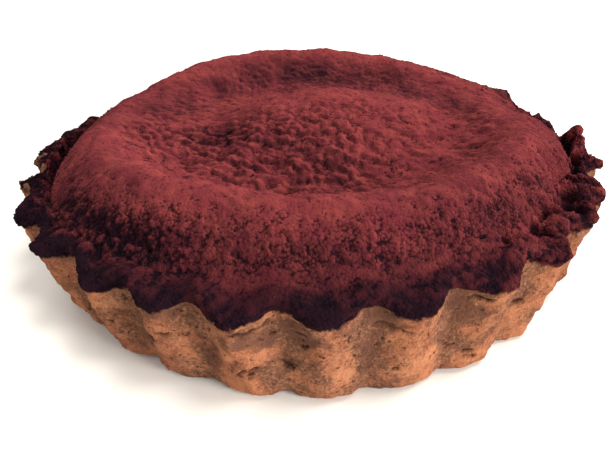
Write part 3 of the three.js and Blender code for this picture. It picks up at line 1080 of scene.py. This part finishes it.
    def place(self, points: Array, angle: Array, radius: Array, rim: Array) -> TopPlace:
        """Where each point of the top lies.

        Args:
            points: positions, in rows of three.
            angle: each one's angle in radians.
            radius: each one's radius.
            rim: the radius of the filling's edge there.

        Returns:
            The places and the shares in each zone.
        """
        ring = self.form.ring(angle)
        past, down = radius - ring, (radius - ring) / (rim - ring)
        inside = 1 - smooth((past + self.lumpy_reach) / self.lumpy_reach)
        back = smooth((points[:, 1] - self.smooth_back + 6) / 9)
        right = smooth((points[:, 0] - self.smooth_right) / 10)
        start = past - self.bare_start - humps(self.slope_lit, angle)
        crest = np.exp(-(((past + self.crest_in) / self.crest_half) ** 2))
        crest *= 1 - 0.8 * humps(self.sandy, angle)
        lumpy = inside * (1 - 0.75 * back) * (1 - 0.4 * right)
        bare = humps(self.form.bare_front, angle) * smooth(start / self.bare_fade)
        front, fine = humps(self.front, angle), humps(self.fine, angle)
        return TopPlace(angle, radius, past, down, smooth(down * 1.5), crest, lumpy, bare, front, fine)

    def coat(self, points: Array, place: TopPlace) -> TopCoat:
        """The cocoa's noises at each point of the top.

        Args:
            points: positions, in rows of three.
            place: where they lie.

        Returns:
            The noises.
        """
        grain, lumps = self.grain, self.lumps
        patch = grain.layer(points, self.patches)
        return TopCoat(
            patch=patch,
            lump=grain.stones(points, lumps, 0.15 * smooth(0.5 + patch)),
            small=grain.pebbles(grain.bent(points, *lumps.bend) + 17, lumps.size / 2, 0.25) - 0.4,
            crumb=grain.stones(points, self.crumbs, 0.3 * place.bare),
            powder=grain.layer(points, self.powder),
        )

    def relief(self, points: Array, place: TopPlace, coat: TopCoat) -> Array:
        """The top's relief in millimetres: pebbly in the middle, sandy on the slope, calm on the crest.

        Args:
            points: positions, in rows of three.
            place: where they lie.
            coat: the cocoa's noises there.

        Returns:
            The relief at each point.
        """
        relief = self.lumps.strength * place.lumpy * (coat.lump + 0.4 * coat.small)
        coarse = weighed(self.coarse, place.crest, place.slope * (1 - 0.5 * place.crest), place.bare)
        coarse *= 1 - self.fineness * place.fine
        relief += self.crumbs.strength * coarse * coat.crumb
        dusty = weighed(self.dusty, place.crest, place.slope * place.front, place.bare)
        relief += self.powder.strength * dusty * coat.powder
        for noise in (self.drifts, self.swells):
            relief += noise.strength * self.grain.layer(points, noise)
        return relief

    def tone(self, points: Array, place: TopPlace, coat: TopCoat, light_facing: Array, fine_light_facing: Array) -> Array:
        """How dark the cocoa lies on the top, with painted shade and painted light on it.

        Args:
            points: positions, in rows of three.
            place: where they lie.
            coat: the cocoa's noises there.
            light_facing: how far the large forms face the way the painted light comes from.
            fine_light_facing: how much further the relief faces it there.

        Returns:
            The tone at each point, from dry at 0 to near black at 1.
        """
        # painted shade: the sides that face away from the painted light are darker, and those facing it a
        # little paler
        tone = self.thickest + self.lee_shade * np.maximum(-light_facing, -0.1) * (1 - smooth((place.past + 7) / 6))
        # painted shade in a band on the slope inside the ring
        away = place.radius - self.ring_shade_radius + humps(self.ring_shade_in, place.angle)
        tone += humps(self.ring_shade, place.angle) * np.exp(-((away / self.ring_shade_half) ** 2))
        # painted shade and painted light on the small lumps, by how their own sides face the painted light
        tone += self.fine_lee_shade * np.clip(-fine_light_facing, -0.35, 1) + self.patches.strength * coat.patch
        tone += place.bare * weighed(self.bare_tone, coat.crumb, coat.powder)
        tone += self.slope_tone * (1 + place.front) * smooth(place.down * 1.4 - 0.15)
        # spots of uneven cocoa, and of painted shade and painted light
        for x, y, half, depth in self.cocoa_and_shade_spots:
            tone += depth * smooth(1.4 - 1.4 * np.hypot(points[:, 0] - x, points[:, 1] - y) / half)
        return np.clip(tone, 0, 1)

    def closed(self, points: Array, quads: Array, edge: Array, around: Array) -> tuple[Array, list[Any]]:
        """Closes the top with side walls and a bottom.

        Args:
            points: the top's points.
            quads: the top's quads.
            edge: the numbers of the edge's points in order round the disc.
            around: the angle of each of those in radians.

        Returns:
            All points and all faces.
        """
        form = self.form
        rows = [points]
        top = form.filling_edge(around) - form.seam_slump(around) - self.tuck
        for row in range(1, self.side_rows + 1):
            level = lerp(top, form.crevice_floor, row / self.side_rows)
            side = form.seam(around, level) - form.crevice(around, level) + self.seam_overlap / 2
            rows.append(polar(around, side, level))
        bottom = form.floor_thickness + form.gap
        rows.append(polar(around, form.seam(around, bottom) - form.gap / 2, bottom))
        loops = [edge] + [len(points) + k * len(edge) + np.arange(len(edge)) for k in range(len(rows) - 1)]
        faces = quads.tolist()
        for upper, lower in zip(loops, loops[1:]):
            faces += np.stack([upper, lower, np.roll(lower, -1), np.roll(upper, -1)], axis=-1).tolist()
        everything = np.vstack(rows + [[(0, 0, bottom)]])
        last, centre = loops[-1], len(everything) - 1
        faces += [(centre, after, here) for here, after in zip(last.tolist(), np.roll(last, -1).tolist())]
        return everything, faces

    def build(self) -> bpy.types.Object:
        """Makes the filling's mesh with its relief."""
        form = self.form
        angle, share, quads, edge = self.disc()
        rim = form.filling_rim(angle, self.seam_overlap)
        radius = share * rim
        height = form.filling(angle, radius, rim)
        height -= self.tuck * form.shut(angle) * smooth(1 - (1 - share) / self.tuck_share)
        points = polar(angle, radius, height)
        normals = vertex_normals(points, quads)
        place = self.place(points, angle, radius, rim)
        coat = self.coat(points, place)
        relief = self.relief(points, place, coat) * (1 - 0.7 * smooth((share - 0.97) / 0.03))
        points = points + normals * relief[:, None]
        hollow = hollow_depth(form, points)
        points[:, 2] -= hollow
        # how the forms and the relief face the painted light, which the tone turns into painted shade
        light_facing = normals @ self.painted_light_from
        fine_light_facing = vertex_normals(points, quads) @ self.painted_light_from - light_facing
        slope_pitting = weighed(self.slope_pitting, place.front, place.fine) * place.slope
        pitting = weighed(self.pitting, slope_pitting, place.bare, place.lumpy)
        facts = {
            "relief": coat.powder + lerp(coat.crumb - 0.05, coat.lump * 1.5 + 0.05, place.lumpy),
            "tone": self.tone(points, place, coat, light_facing, fine_light_facing),
            # painted shade, near black in the seam hollows
            "hollow": 0.9 * smooth(hollow / 1.5),
            "pitting": np.clip(pitting, 0, 1),
            "strewn": weighed(self.strewn, place.slope, place.bare) * (1 - smooth(hollow)),
        }
        everything, faces = self.closed(points, quads, edge, angle[edge])
        rest = len(everything) - len(points)
        # painted shade: the filling's sides, seen only down the crevices, are near black
        side_facts = {"hollow": 1.0, "relief": -1.0, "tone": 1.0, "pitting": 1.0, "strewn": 0.0}
        facts = {name: np.concatenate([v, np.full(rest, side_facts[name])]) for name, v in facts.items()}
        return make_mesh("chocolate_filling", everything, faces, facts)


# ---------------- scattered cocoa


def put(tree: Any, kind: str, settings: dict[str, Any], inputs: dict[Any, Any], output: Any = 0) -> Any:
    """Adds a node to a tree.

    Args:
        tree: the node tree.
        kind: the node's type.
        settings: its own settings by name.
        inputs: values, or sockets to link, by the input's name or number.
        output: the output that is wanted, by name or number.

    Returns:
        That output's socket, or None where the node has no outputs.
    """
    node = tree.nodes.new(kind)
    for name, value in settings.items():
        setattr(node, name, value)
    for name, value in inputs.items():
        if isinstance(value, bpy.types.NodeSocket):
            tree.links.new(value, node.inputs[name])
        else:
            node.inputs[name].default_value = value
    return node.outputs[output] if node.outputs else None


@dataclass
class Scatter:
    """Loose grains strewn over a surface by a geometry-node tree."""

    name: str
    per_cm2: float
    smallest: float
    largest: float
    seed: int
    skew: float = 1.7  # above 1, small grains outnumber large ones
    facts: tuple[tuple[str, float], ...] = (("relief", 0.3), ("hollow", 0.0))
    flattest: Triple = (0.7, 0.7, 0.6)
    longest: Triple = (1.3, 1.2, 1.0)

    def tree(self) -> bpy.types.GeometryNodeTree:
        """Builds the tree, with inputs for the density, sizes and material."""
        tree = bpy.data.node_groups.new(self.name, "GeometryNodeTree")
        kinds = {"Surface": "Geometry", "Grains per m2": "Float", "Smallest": "Float", "Largest": "Float"}
        kinds.update({"Seed": "Int", "Finish": "Material"})
        for name, kind in kinds.items():
            tree.interface.new_socket(name, in_out="INPUT", socket_type="NodeSocket" + kind)
        tree.interface.new_socket("Grains", in_out="OUTPUT", socket_type="NodeSocketGeometry")
        given = put(tree, "NodeGroupInput", {}, {}).node.outputs
        seed = {"Seed": given["Seed"]}
        vector = {"data_type": "FLOAT_VECTOR"}
        density = put(tree, "GeometryNodeInputNamedAttribute", {"data_type": "FLOAT"}, {"Name": "strewn"})
        density = put(tree, MATH, {"operation": "MULTIPLY"}, {0: density, 1: given["Grains per m2"]})
        spread = {"Mesh": given["Surface"], "Density": density, **seed}
        method = {"distribute_method": "RANDOM"}
        spread = put(tree, "GeometryNodeDistributePointsOnFaces", method, spread, "Points")
        size = put(tree, RANDOM, {"data_type": "FLOAT"}, {"Min": 0.0, "Max": 1.0, **seed}, 1)
        size = put(tree, MATH, {"operation": "POWER"}, {0: size, 1: self.skew})
        size = put(tree, RANGE, {}, {"Value": size, "To Min": given["Smallest"], "To Max": given["Largest"]})
        squash = put(tree, RANDOM, vector, {"Min": self.flattest, "Max": self.longest, "Seed": 3})
        scale = put(tree, VECTOR, {"operation": "SCALE"}, {"Vector": squash, "Scale": size}, "Vector")
        turn = put(tree, RANDOM, vector, {"Min": (0.0, 0.0, 0.0), "Max": (TAU, TAU, TAU), "Seed": 5})
        ball = put(tree, "GeometryNodeMeshIcoSphere", {}, {"Radius": 1.0, "Subdivisions": 1}, "Mesh")
        grains = {"Points": spread, "Instance": ball, "Rotation": turn, "Scale": scale}
        grains = put(tree, "GeometryNodeInstanceOnPoints", {}, grains)
        grains = put(tree, "GeometryNodeRealizeInstances", {}, {"Geometry": grains})
        grains = put(tree, "GeometryNodeSetShadeSmooth", {}, {0: grains})
        for fact, value in self.facts:
            kept = {"Geometry": grains, "Name": fact, "Value": value}
            settings = {"data_type": "FLOAT", "domain": "POINT"}
            grains = put(tree, "GeometryNodeStoreNamedAttribute", settings, kept)
        dressed = {"Geometry": grains, "Material": given["Finish"]}
        dressed = put(tree, "GeometryNodeSetMaterial", {}, dressed)
        put(tree, "NodeGroupOutput", {}, {"Grains": dressed})
        return tree

    def build(self, surface: bpy.types.Object, finish: bpy.types.Material) -> bpy.types.Object:
        """Strews the grains over a surface.

        Args:
            surface: the piece that they lie on, with its density as the attribute "strewn".
            finish: their material.

        Returns:
            The grains as one plain mesh.
        """
        carrier = place_object(self.name + "_carrier", surface.data.copy())
        tree = self.tree()
        modifier = carrier.modifiers.new("scatter", "NODES")
        modifier.node_group = tree
        values = {
            "Grains per m2": self.per_cm2 * 10000,
            "Smallest": self.smallest * MM / 2,
            "Largest": self.largest * MM / 2,
            "Seed": self.seed,
            "Finish": finish,
        }
        for socket in tree.interface.items_tree:
            if socket.name in values:
                modifier[socket.identifier] = values[socket.name]
        depsgraph = bpy.context.evaluated_depsgraph_get()
        mesh = bpy.data.meshes.new_from_object(carrier.evaluated_get(depsgraph))
        mesh.name = self.name
        bpy.data.objects.remove(carrier)
        return place_object(self.name, mesh)


# ---------------- finishes


def linear(colour: str) -> tuple[float, float, float, float]:
    """The linear colour of an sRGB hex value, such as "#a06040"."""
    parts = [int(colour[k : k + 2], 16) / 255 for k in (1, 3, 5)]
    parts = [p / 12.92 if p <= 0.04045 else ((p + 0.055) / 1.055) ** 2.4 for p in parts]
    return (*parts, 1.0)


def per_metre(millimetres: float) -> float:
    """The Scale of a noise or cell texture whose blobs are that far apart."""
    return 1 / (millimetres * MM)


def new_material(name: str, values: dict[str, Any]) -> bpy.types.Material:
    """A material with constant values on its shader's inputs, by their names.

    Args:
        name: the material's name.
        values: the value of each input by its name.

    Returns:
        The new material.
    """
    material = bpy.data.materials.new(name)
    material.use_nodes = True
    for socket, value in values.items():
        material.node_tree.nodes["Principled BSDF"].inputs[socket].default_value = value
    return material


def layered(tree: Any, colour: Any, layers: list[tuple[Any, Any]]) -> Any:
    """Lays colours over a colour, each by its own share, and returns the socket of the last."""
    for share, over in layers:
        colour = put(tree, "ShaderNodeMix", {"data_type": "RGBA"}, {"Factor": share, 6: colour, 7: over}, 2)
    return colour


def patches(tree: Any, millimetres: float, detail: float, shift: float = 0.0) -> Any:
    """Adds noise in the tart's own space and returns the socket of its strength.

    Args:
        tree: the material's node tree.
        millimetres: how far apart the patches lie.
        detail: how many finer sizes of noise lie on them.
        shift: moves the patches, so that two of one size don't match.

    Returns:
        The socket, which gives about 0.25 to 0.75.
    """
    where = put(tree, "ShaderNodeTexCoord", {}, {}, "Object")
    moved = put(tree, VECTOR, {"operation": "ADD"}, {0: where, 1: (shift, shift, shift)}, "Vector")
    inputs = {"Vector": moved, "Scale": per_metre(millimetres), "Detail": detail, "Roughness": 0.62}
    return put(tree, "ShaderNodeTexNoise", {}, inputs, "Fac")


@dataclass(frozen=True)
class SievedCocoa:
    """Sieved cocoa powder on set chocolate: matt to the last grain and clumped, deep where it is damp and
    where the tone paints shade on the top, and near black with painted shade in the gaps between clumps, in
    the low places and in the hollows, so the eye reads it as soft and deep."""

    name: str = "cocoa_powder_sieved"
    dry: str = "#65262e"
    pale: str = "#833a38"
    deep: str = "#1f1018"
    shade: str = "#100911"
    patch_mm: float = 4.0
    patch_low: float = 0.28  # the noise's value where the cocoa is dry, and where it is pale
    patch_high: float = 0.72
    speck_mm: float = 0.42
    clump_mm: float = 0.54
    clump_bend: float = 0.7  # how unevenly the clumps are bent, in their own sizes
    clump_bend_size: float = 1.4
    bump_mm: float = 0.4
    least_bump: float = 0.3
    rough_from: float = 0.45  # the pitting from which the bump is full
    # painted shade falls near black in the gaps between clumps and in the low relief, with random dark specks
    # among it
    gap_share: float = 1.6
    grain_middle: float = 0.9
    grain_mm: float = 0.35  # real grains are finer, and this is as coarse as it needs to be to show
    relief_share: float = 0.6
    speck_share: float = 2.4
    least_pitted: float = -1.2
    most_pitted: float = 0.6
    pit_edge: float = 0.45
    pit_strength: float = 0.9
    sheen: float = 0.12
    sheen_roughness: float = 0.6
    specular: float = 0.02

    def grains(self, tree: Any) -> Any:
        """Adds the clumped grains.

        Args:
            tree: the material's node tree.

        Returns:
            The socket of the distance from each one's middle.
        """
        where = put(tree, "ShaderNodeTexCoord", {}, {}, "Object")
        bend = {"Vector": where, "Scale": per_metre(self.clump_mm * self.clump_bend_size), "Detail": 1.0}
        bend = put(tree, "ShaderNodeTexNoise", {}, bend, "Color")
        bend = {0: bend, 1: (self.clump_mm * MM * self.clump_bend,) * 3, 2: where}
        bend = put(tree, VECTOR, MULTIPLY_ADD, bend, "Vector")
        cells = {"Vector": bend, "Scale": per_metre(self.clump_mm)}
        return put(tree, "ShaderNodeTexVoronoi", {"feature": "F1"}, cells, "Distance")

    def colour(self, tree: Any, grain: Any) -> Any:
        """Adds the colour's nodes, with painted shade near black in the gaps, the low places and the hollows.

        Args:
            tree: the material's node tree.
            grain: the socket of the clumped grains.

        Returns:
            The socket of the cocoa's colour.
        """
        names = ("relief", "hollow", "tone", "pitting")
        facts = {name: put(tree, ATTRIBUTE, {"attribute_name": name}, {}, "Fac") for name in names}
        # painted shade: near black where the pitting's level stands over the grains, the specks and the
        # relief, and in the hollows
        low = {"Value": facts["pitting"], "To Min": self.least_pitted, "To Max": self.most_pitted}
        low = put(tree, RANGE, {}, low)
        middle = (self.gap_share * self.grain_middle - self.speck_share) / 2
        high = put(tree, MATH, MULTIPLY_ADD, {0: facts["relief"], 1: self.relief_share, 2: middle})
        for noise, share in ((patches(tree, self.speck_mm, 2.0), self.speck_share), (grain, -self.gap_share)):
            high = put(tree, MATH, MULTIPLY_ADD, {0: noise, 1: share, 2: high})
        under = put(tree, MATH, {"operation": "SUBTRACT"}, {0: low, 1: high})
        pit_shade = {"Value": under, "From Min": -self.pit_edge, "From Max": self.pit_edge}
        pit_shade = put(tree, RANGE, {}, pit_shade | {"To Max": self.pit_strength})
        painted_shade = {0: pit_shade, 1: facts["hollow"]}
        painted_shade = put(tree, MATH, {"operation": "MAXIMUM", "use_clamp": True}, painted_shade)
        patch = {"Value": patches(tree, self.patch_mm, 3.0)}
        patch = put(tree, RANGE, {}, patch | {"From Min": self.patch_low, "From Max": self.patch_high})
        layers = [(patch, linear(self.pale)), (facts["tone"], linear(self.deep)), (painted_shade, linear(self.shade))]
        return layered(tree, linear(self.dry), layers)

    def bump(self, tree: Any, grain: Any) -> Any:
        """Adds the grains' relief and returns the normal's socket."""
        fine = put(tree, MATH, MULTIPLY_ADD, {0: grain, 1: -1.0, 2: patches(tree, self.grain_mm, 2.0)})
        rough = put(tree, ATTRIBUTE, {"attribute_name": "pitting"}, {}, "Fac")
        rough = {"Value": rough, "From Max": self.rough_from}
        rough = put(tree, RANGE, {}, rough | {"To Min": self.least_bump, "To Max": 1.0})
        return put(tree, BUMP, {}, {"Height": fine, "Strength": rough, "Distance": self.bump_mm * MM})

    def material(self) -> bpy.types.Material:
        """Makes the material."""
        values = {"Roughness": 1.0, "Diffuse Roughness": 1.0, "Specular IOR Level": self.specular}
        values |= {"Sheen Weight": self.sheen, "Sheen Roughness": self.sheen_roughness}
        material = new_material(self.name, values | {"Sheen Tint": linear(self.pale)})
        tree = material.node_tree
        shader = tree.nodes["Principled BSDF"]
        grain = self.grains(tree)
        tree.links.new(self.colour(tree, grain), shader.inputs["Base Color"])
        tree.links.new(self.bump(tree, grain), shader.inputs["Normal"])
        return material


@dataclass(frozen=True)
class Mottle:
    """A colour lying over the crust in patches."""

    colour: str
    millimetres: float  # how far apart the patches lie
    detail: float
    shift: float
    bare: float  # the noise's value where none of the colour lies, and where it is full
    full: float
    share: float  # how much of it lies there
    drawn_by: tuple[tuple[str, float], ...] = ()  # the facts that bring it out, and by how much


@dataclass(frozen=True)
class BakedShortcrust:
    """Baked shortcrust pressed in a fluted tin, under cocoa on its rim: dry, sandy and mottled, tan with
    browner and greyer patches, some paler patches of painted light, and painted shade in its notches, pits
    and cracks, so the eye reads it as short and crumbly."""

    name: str = "shortcrust_baked"
    tan: str = "#a96d4f"
    mottles: tuple[Mottle, ...] = (
        Mottle("#7b4a39", 6.0, 5.0, 0.0, 0.44, 0.58, 0.85, (("stain_and_light", 0.08),)),
        # the grey comes out more in the notches, as painted shade there
        Mottle("#614438", 7.0, 4.0, 0.31, 0.49, 0.62, 0.8, (("notch", 0.12), ("stain_and_light", 0.16))),
        # the pale comes out more where the wall's patches paint in light
        Mottle("#c88d67", 0.5, 3.0, 0.0, 0.46, 0.72, 0.45, (("stain_and_light", -0.16),)),
        Mottle("#2b1711", 0.8, 2.0, 0.17, 0.42, 0.28, 0.8),
    )
    # the painted shade in the crust's pits, cracks and hollows
    pit_shade: str = "#2b1711"
    sand_mm: float = 0.5
    bump_mm: float = 0.45
    hem_mm: float = 0.5  # how softly the cocoa ends on the crust
    hem_ragged: float = 2.2
    hem_patch_mm: float = 1.8
    specular: float = 0.02
    cocoa: SievedCocoa = SievedCocoa()

    def crust(self, tree: Any, facts: dict[str, Any]) -> Any:
        """Adds the mottled crust.

        Args:
            tree: the material's node tree.
            facts: the sockets of the mesh's named numbers.

        Returns:
            The socket of the crust's colour.
        """
        layers = []
        for mottle in self.mottles:
            value = patches(tree, mottle.millimetres, mottle.detail, mottle.shift)
            for fact, share in mottle.drawn_by:
                value = put(tree, MATH, MULTIPLY_ADD, {0: facts[fact], 1: share, 2: value})
            span = {"Value": value, "From Min": mottle.bare, "From Max": mottle.full, "To Max": mottle.share}
            layers.append((put(tree, RANGE, {}, span), linear(mottle.colour)))
        return layered(tree, linear(self.tan), layers + [(facts["hollow"], linear(self.pit_shade))])

    def material(self) -> bpy.types.Material:
        """Makes the material, crust below the cocoa's edge and cocoa above it."""
        values = {"Roughness": 1.0, "Diffuse Roughness": 0.9, "Specular IOR Level": self.specular}
        material = new_material(self.name, values)
        tree = material.node_tree
        shader = tree.nodes["Principled BSDF"]
        names = ("above", "hollow", "notch", "stain_and_light")
        facts = {name: put(tree, ATTRIBUTE, {"attribute_name": name}, {}, "Fac") for name in names}
        ragged = patches(tree, self.hem_patch_mm, 5.0, 0.11)
        edge = put(tree, MATH, MULTIPLY_ADD, {0: ragged, 1: self.hem_ragged, 2: facts["above"]})
        low, high = ((self.hem_ragged + side * self.hem_mm) / 2 for side in (-1, 1))
        coated = put(tree, RANGE, {}, {"Value": edge, "From Min": low, "From Max": high})
        grain = self.cocoa.grains(tree)
        over = [(coated, self.cocoa.colour(tree, grain))]
        tree.links.new(layered(tree, self.crust(tree, facts), over), shader.inputs["Base Color"])
        bump = {"Height": patches(tree, self.sand_mm, 3.0), "Strength": 1.0, "Distance": self.bump_mm * MM}
        bumps = {"Factor": coated, 4: put(tree, BUMP, {}, bump), 5: self.cocoa.bump(tree, grain)}
        bump = put(tree, "ShaderNodeMix", {"data_type": "VECTOR"}, bumps, 1)
        tree.links.new(bump, shader.inputs["Normal"])
        return material


# ---------------- studio


@dataclass
class Studio:
    """The floor, the lights and the camera."""

    floor_half: float = 2.0
    floor_colour: str = "#f7f5f0"
    floor_roughness: float = 0.9
    # (name, azimuth, elevation, size in metres, watts) of each
    lamps: tuple[tuple[str, float, float, float, float], ...] = (
        ("key", -25, 68, 0.25, 4), ("side", -38, 18, 0.3, 7.5), ("back", 125, 40, 0.4, 2.5),
    )
    lamp_colour: str = "#fffaf4"
    lamp_distance: float = 0.8
    world_colour: str = "#fffefb"
    world_strength: float = 0.66
    camera_distance: float = 135.27
    camera_elevation: float = 30.584
    camera_roll: float = -2.481
    camera_yaw: float = 0.963
    camera_pitch: float = -0.940
    frame_width_px: int = 610
    focal_px: float = 590.0
    sensor_mm: float = 36.0

    def floor(self) -> None:
        """Makes the plain pale floor."""
        h = self.floor_half
        mesh = bpy.data.meshes.new("floor")
        mesh.from_pydata([(-h, -h, 0), (h, -h, 0), (h, h, 0), (-h, h, 0)], [], [(0, 1, 2, 3)])
        values = {"Base Color": linear(self.floor_colour), "Roughness": self.floor_roughness}
        mesh.materials.append(new_material("board_matt_white", values))
        floor = place_object("floor", mesh)
        floor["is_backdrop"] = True

    def lights(self) -> None:
        """Makes the soft lights and the even light all round."""
        for name, azimuth, elevation, size, watts in self.lamps:
            light = bpy.data.lights.new(name, "AREA")
            light.size = size
            light.energy = watts
            light.color = linear(self.lamp_colour)[:3]
            lamp = place_object(name, light)
            level = math.cos(math.radians(elevation))
            turn = math.radians(azimuth)
            aim = Vector((level * math.cos(turn), level * math.sin(turn), math.sin(math.radians(elevation))))
            lamp.location = aim * self.lamp_distance
            lamp.rotation_euler = aim.to_track_quat("Z", "Y").to_euler()
        world = bpy.data.worlds.new("studio")
        bpy.context.scene.world = world
        world.use_nodes = True
        background = world.node_tree.nodes["Background"]
        background.inputs["Color"].default_value = linear(self.world_colour)
        background.inputs["Strength"].default_value = self.world_strength

    def camera(self) -> None:
        """Makes the camera: close, low and turned a little."""
        elevation = math.radians(self.camera_elevation)
        back = Vector((0, -math.cos(elevation), math.sin(elevation)))
        right = Vector((1, 0, 0))
        up = right.cross(-back)
        pose = Matrix((right, up, back)).transposed()
        for turn, axis in ((self.camera_yaw, "Y"), (self.camera_pitch, "X"), (self.camera_roll, "Z")):
            pose = pose @ Matrix.Rotation(math.radians(turn), 3, axis)
        data = bpy.data.cameras.new("camera")
        data.sensor_width = self.sensor_mm
        data.lens = self.focal_px / self.frame_width_px * self.sensor_mm
        data.clip_start = MM
        camera = place_object("camera", data)
        camera.matrix_world = Matrix.Translation(back * self.camera_distance * MM) @ pose.to_4x4()
        bpy.context.scene.camera = camera
        bpy.context.scene.view_settings.view_transform = "Standard"


# ---------------- assembly


def finish_piece(piece: bpy.types.Object, material: bpy.types.Material | None) -> None:
    """Dresses a piece and hands it to the frame.

    Args:
        piece: the finished mesh object.
        material: its material, or None where it already has one.
    """
    if material is not None:
        piece.data.materials.append(material)
    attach(piece, BODY)
    log.info("%s: %d faces", piece.name, len(piece.data.polygons))


def write_sizes(cad: tuple[Vector, Vector]) -> None:
    """Writes the solids' box and the dressed tart's box.

    Args:
        cad: the solids' lowest and highest corner.
    """
    boxes = {"cad": [list(c) for c in cad], "visual": [list(c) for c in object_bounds()]}
    for name, (low, high) in boxes.items():
        log.info("%s box: %s mm", name, [round((b - a) / MM, 1) for a, b in zip(low, high)])


def main() -> None:
    """Builds the tart, piece by piece, and its studio."""
    logging.basicConfig(level=logging.INFO, format="%(name)s: %(message)s")
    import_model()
    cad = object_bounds()
    form = TartForm()
    cocoa = SievedCocoa().material()
    case = Case(form).build()
    filling = Filling(form).build()
    top_grains = Scatter("cocoa_grains", 60.0, 0.2, 0.6, 3).build(filling, cocoa)
    rim_grains = Scatter("rim_grains", 120.0, 0.22, 0.55, 8).build(case, cocoa)
    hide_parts("crust")
    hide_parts("filling")
    finish_piece(case, BakedShortcrust().material())
    finish_piece(filling, cocoa)
    finish_piece(top_grains, None)
    finish_piece(rim_grains, None)
    studio = Studio()
    studio.floor()
    studio.lights()
    studio.camera()
    write_sizes(cad)


if __name__ == "__main__":
    main()
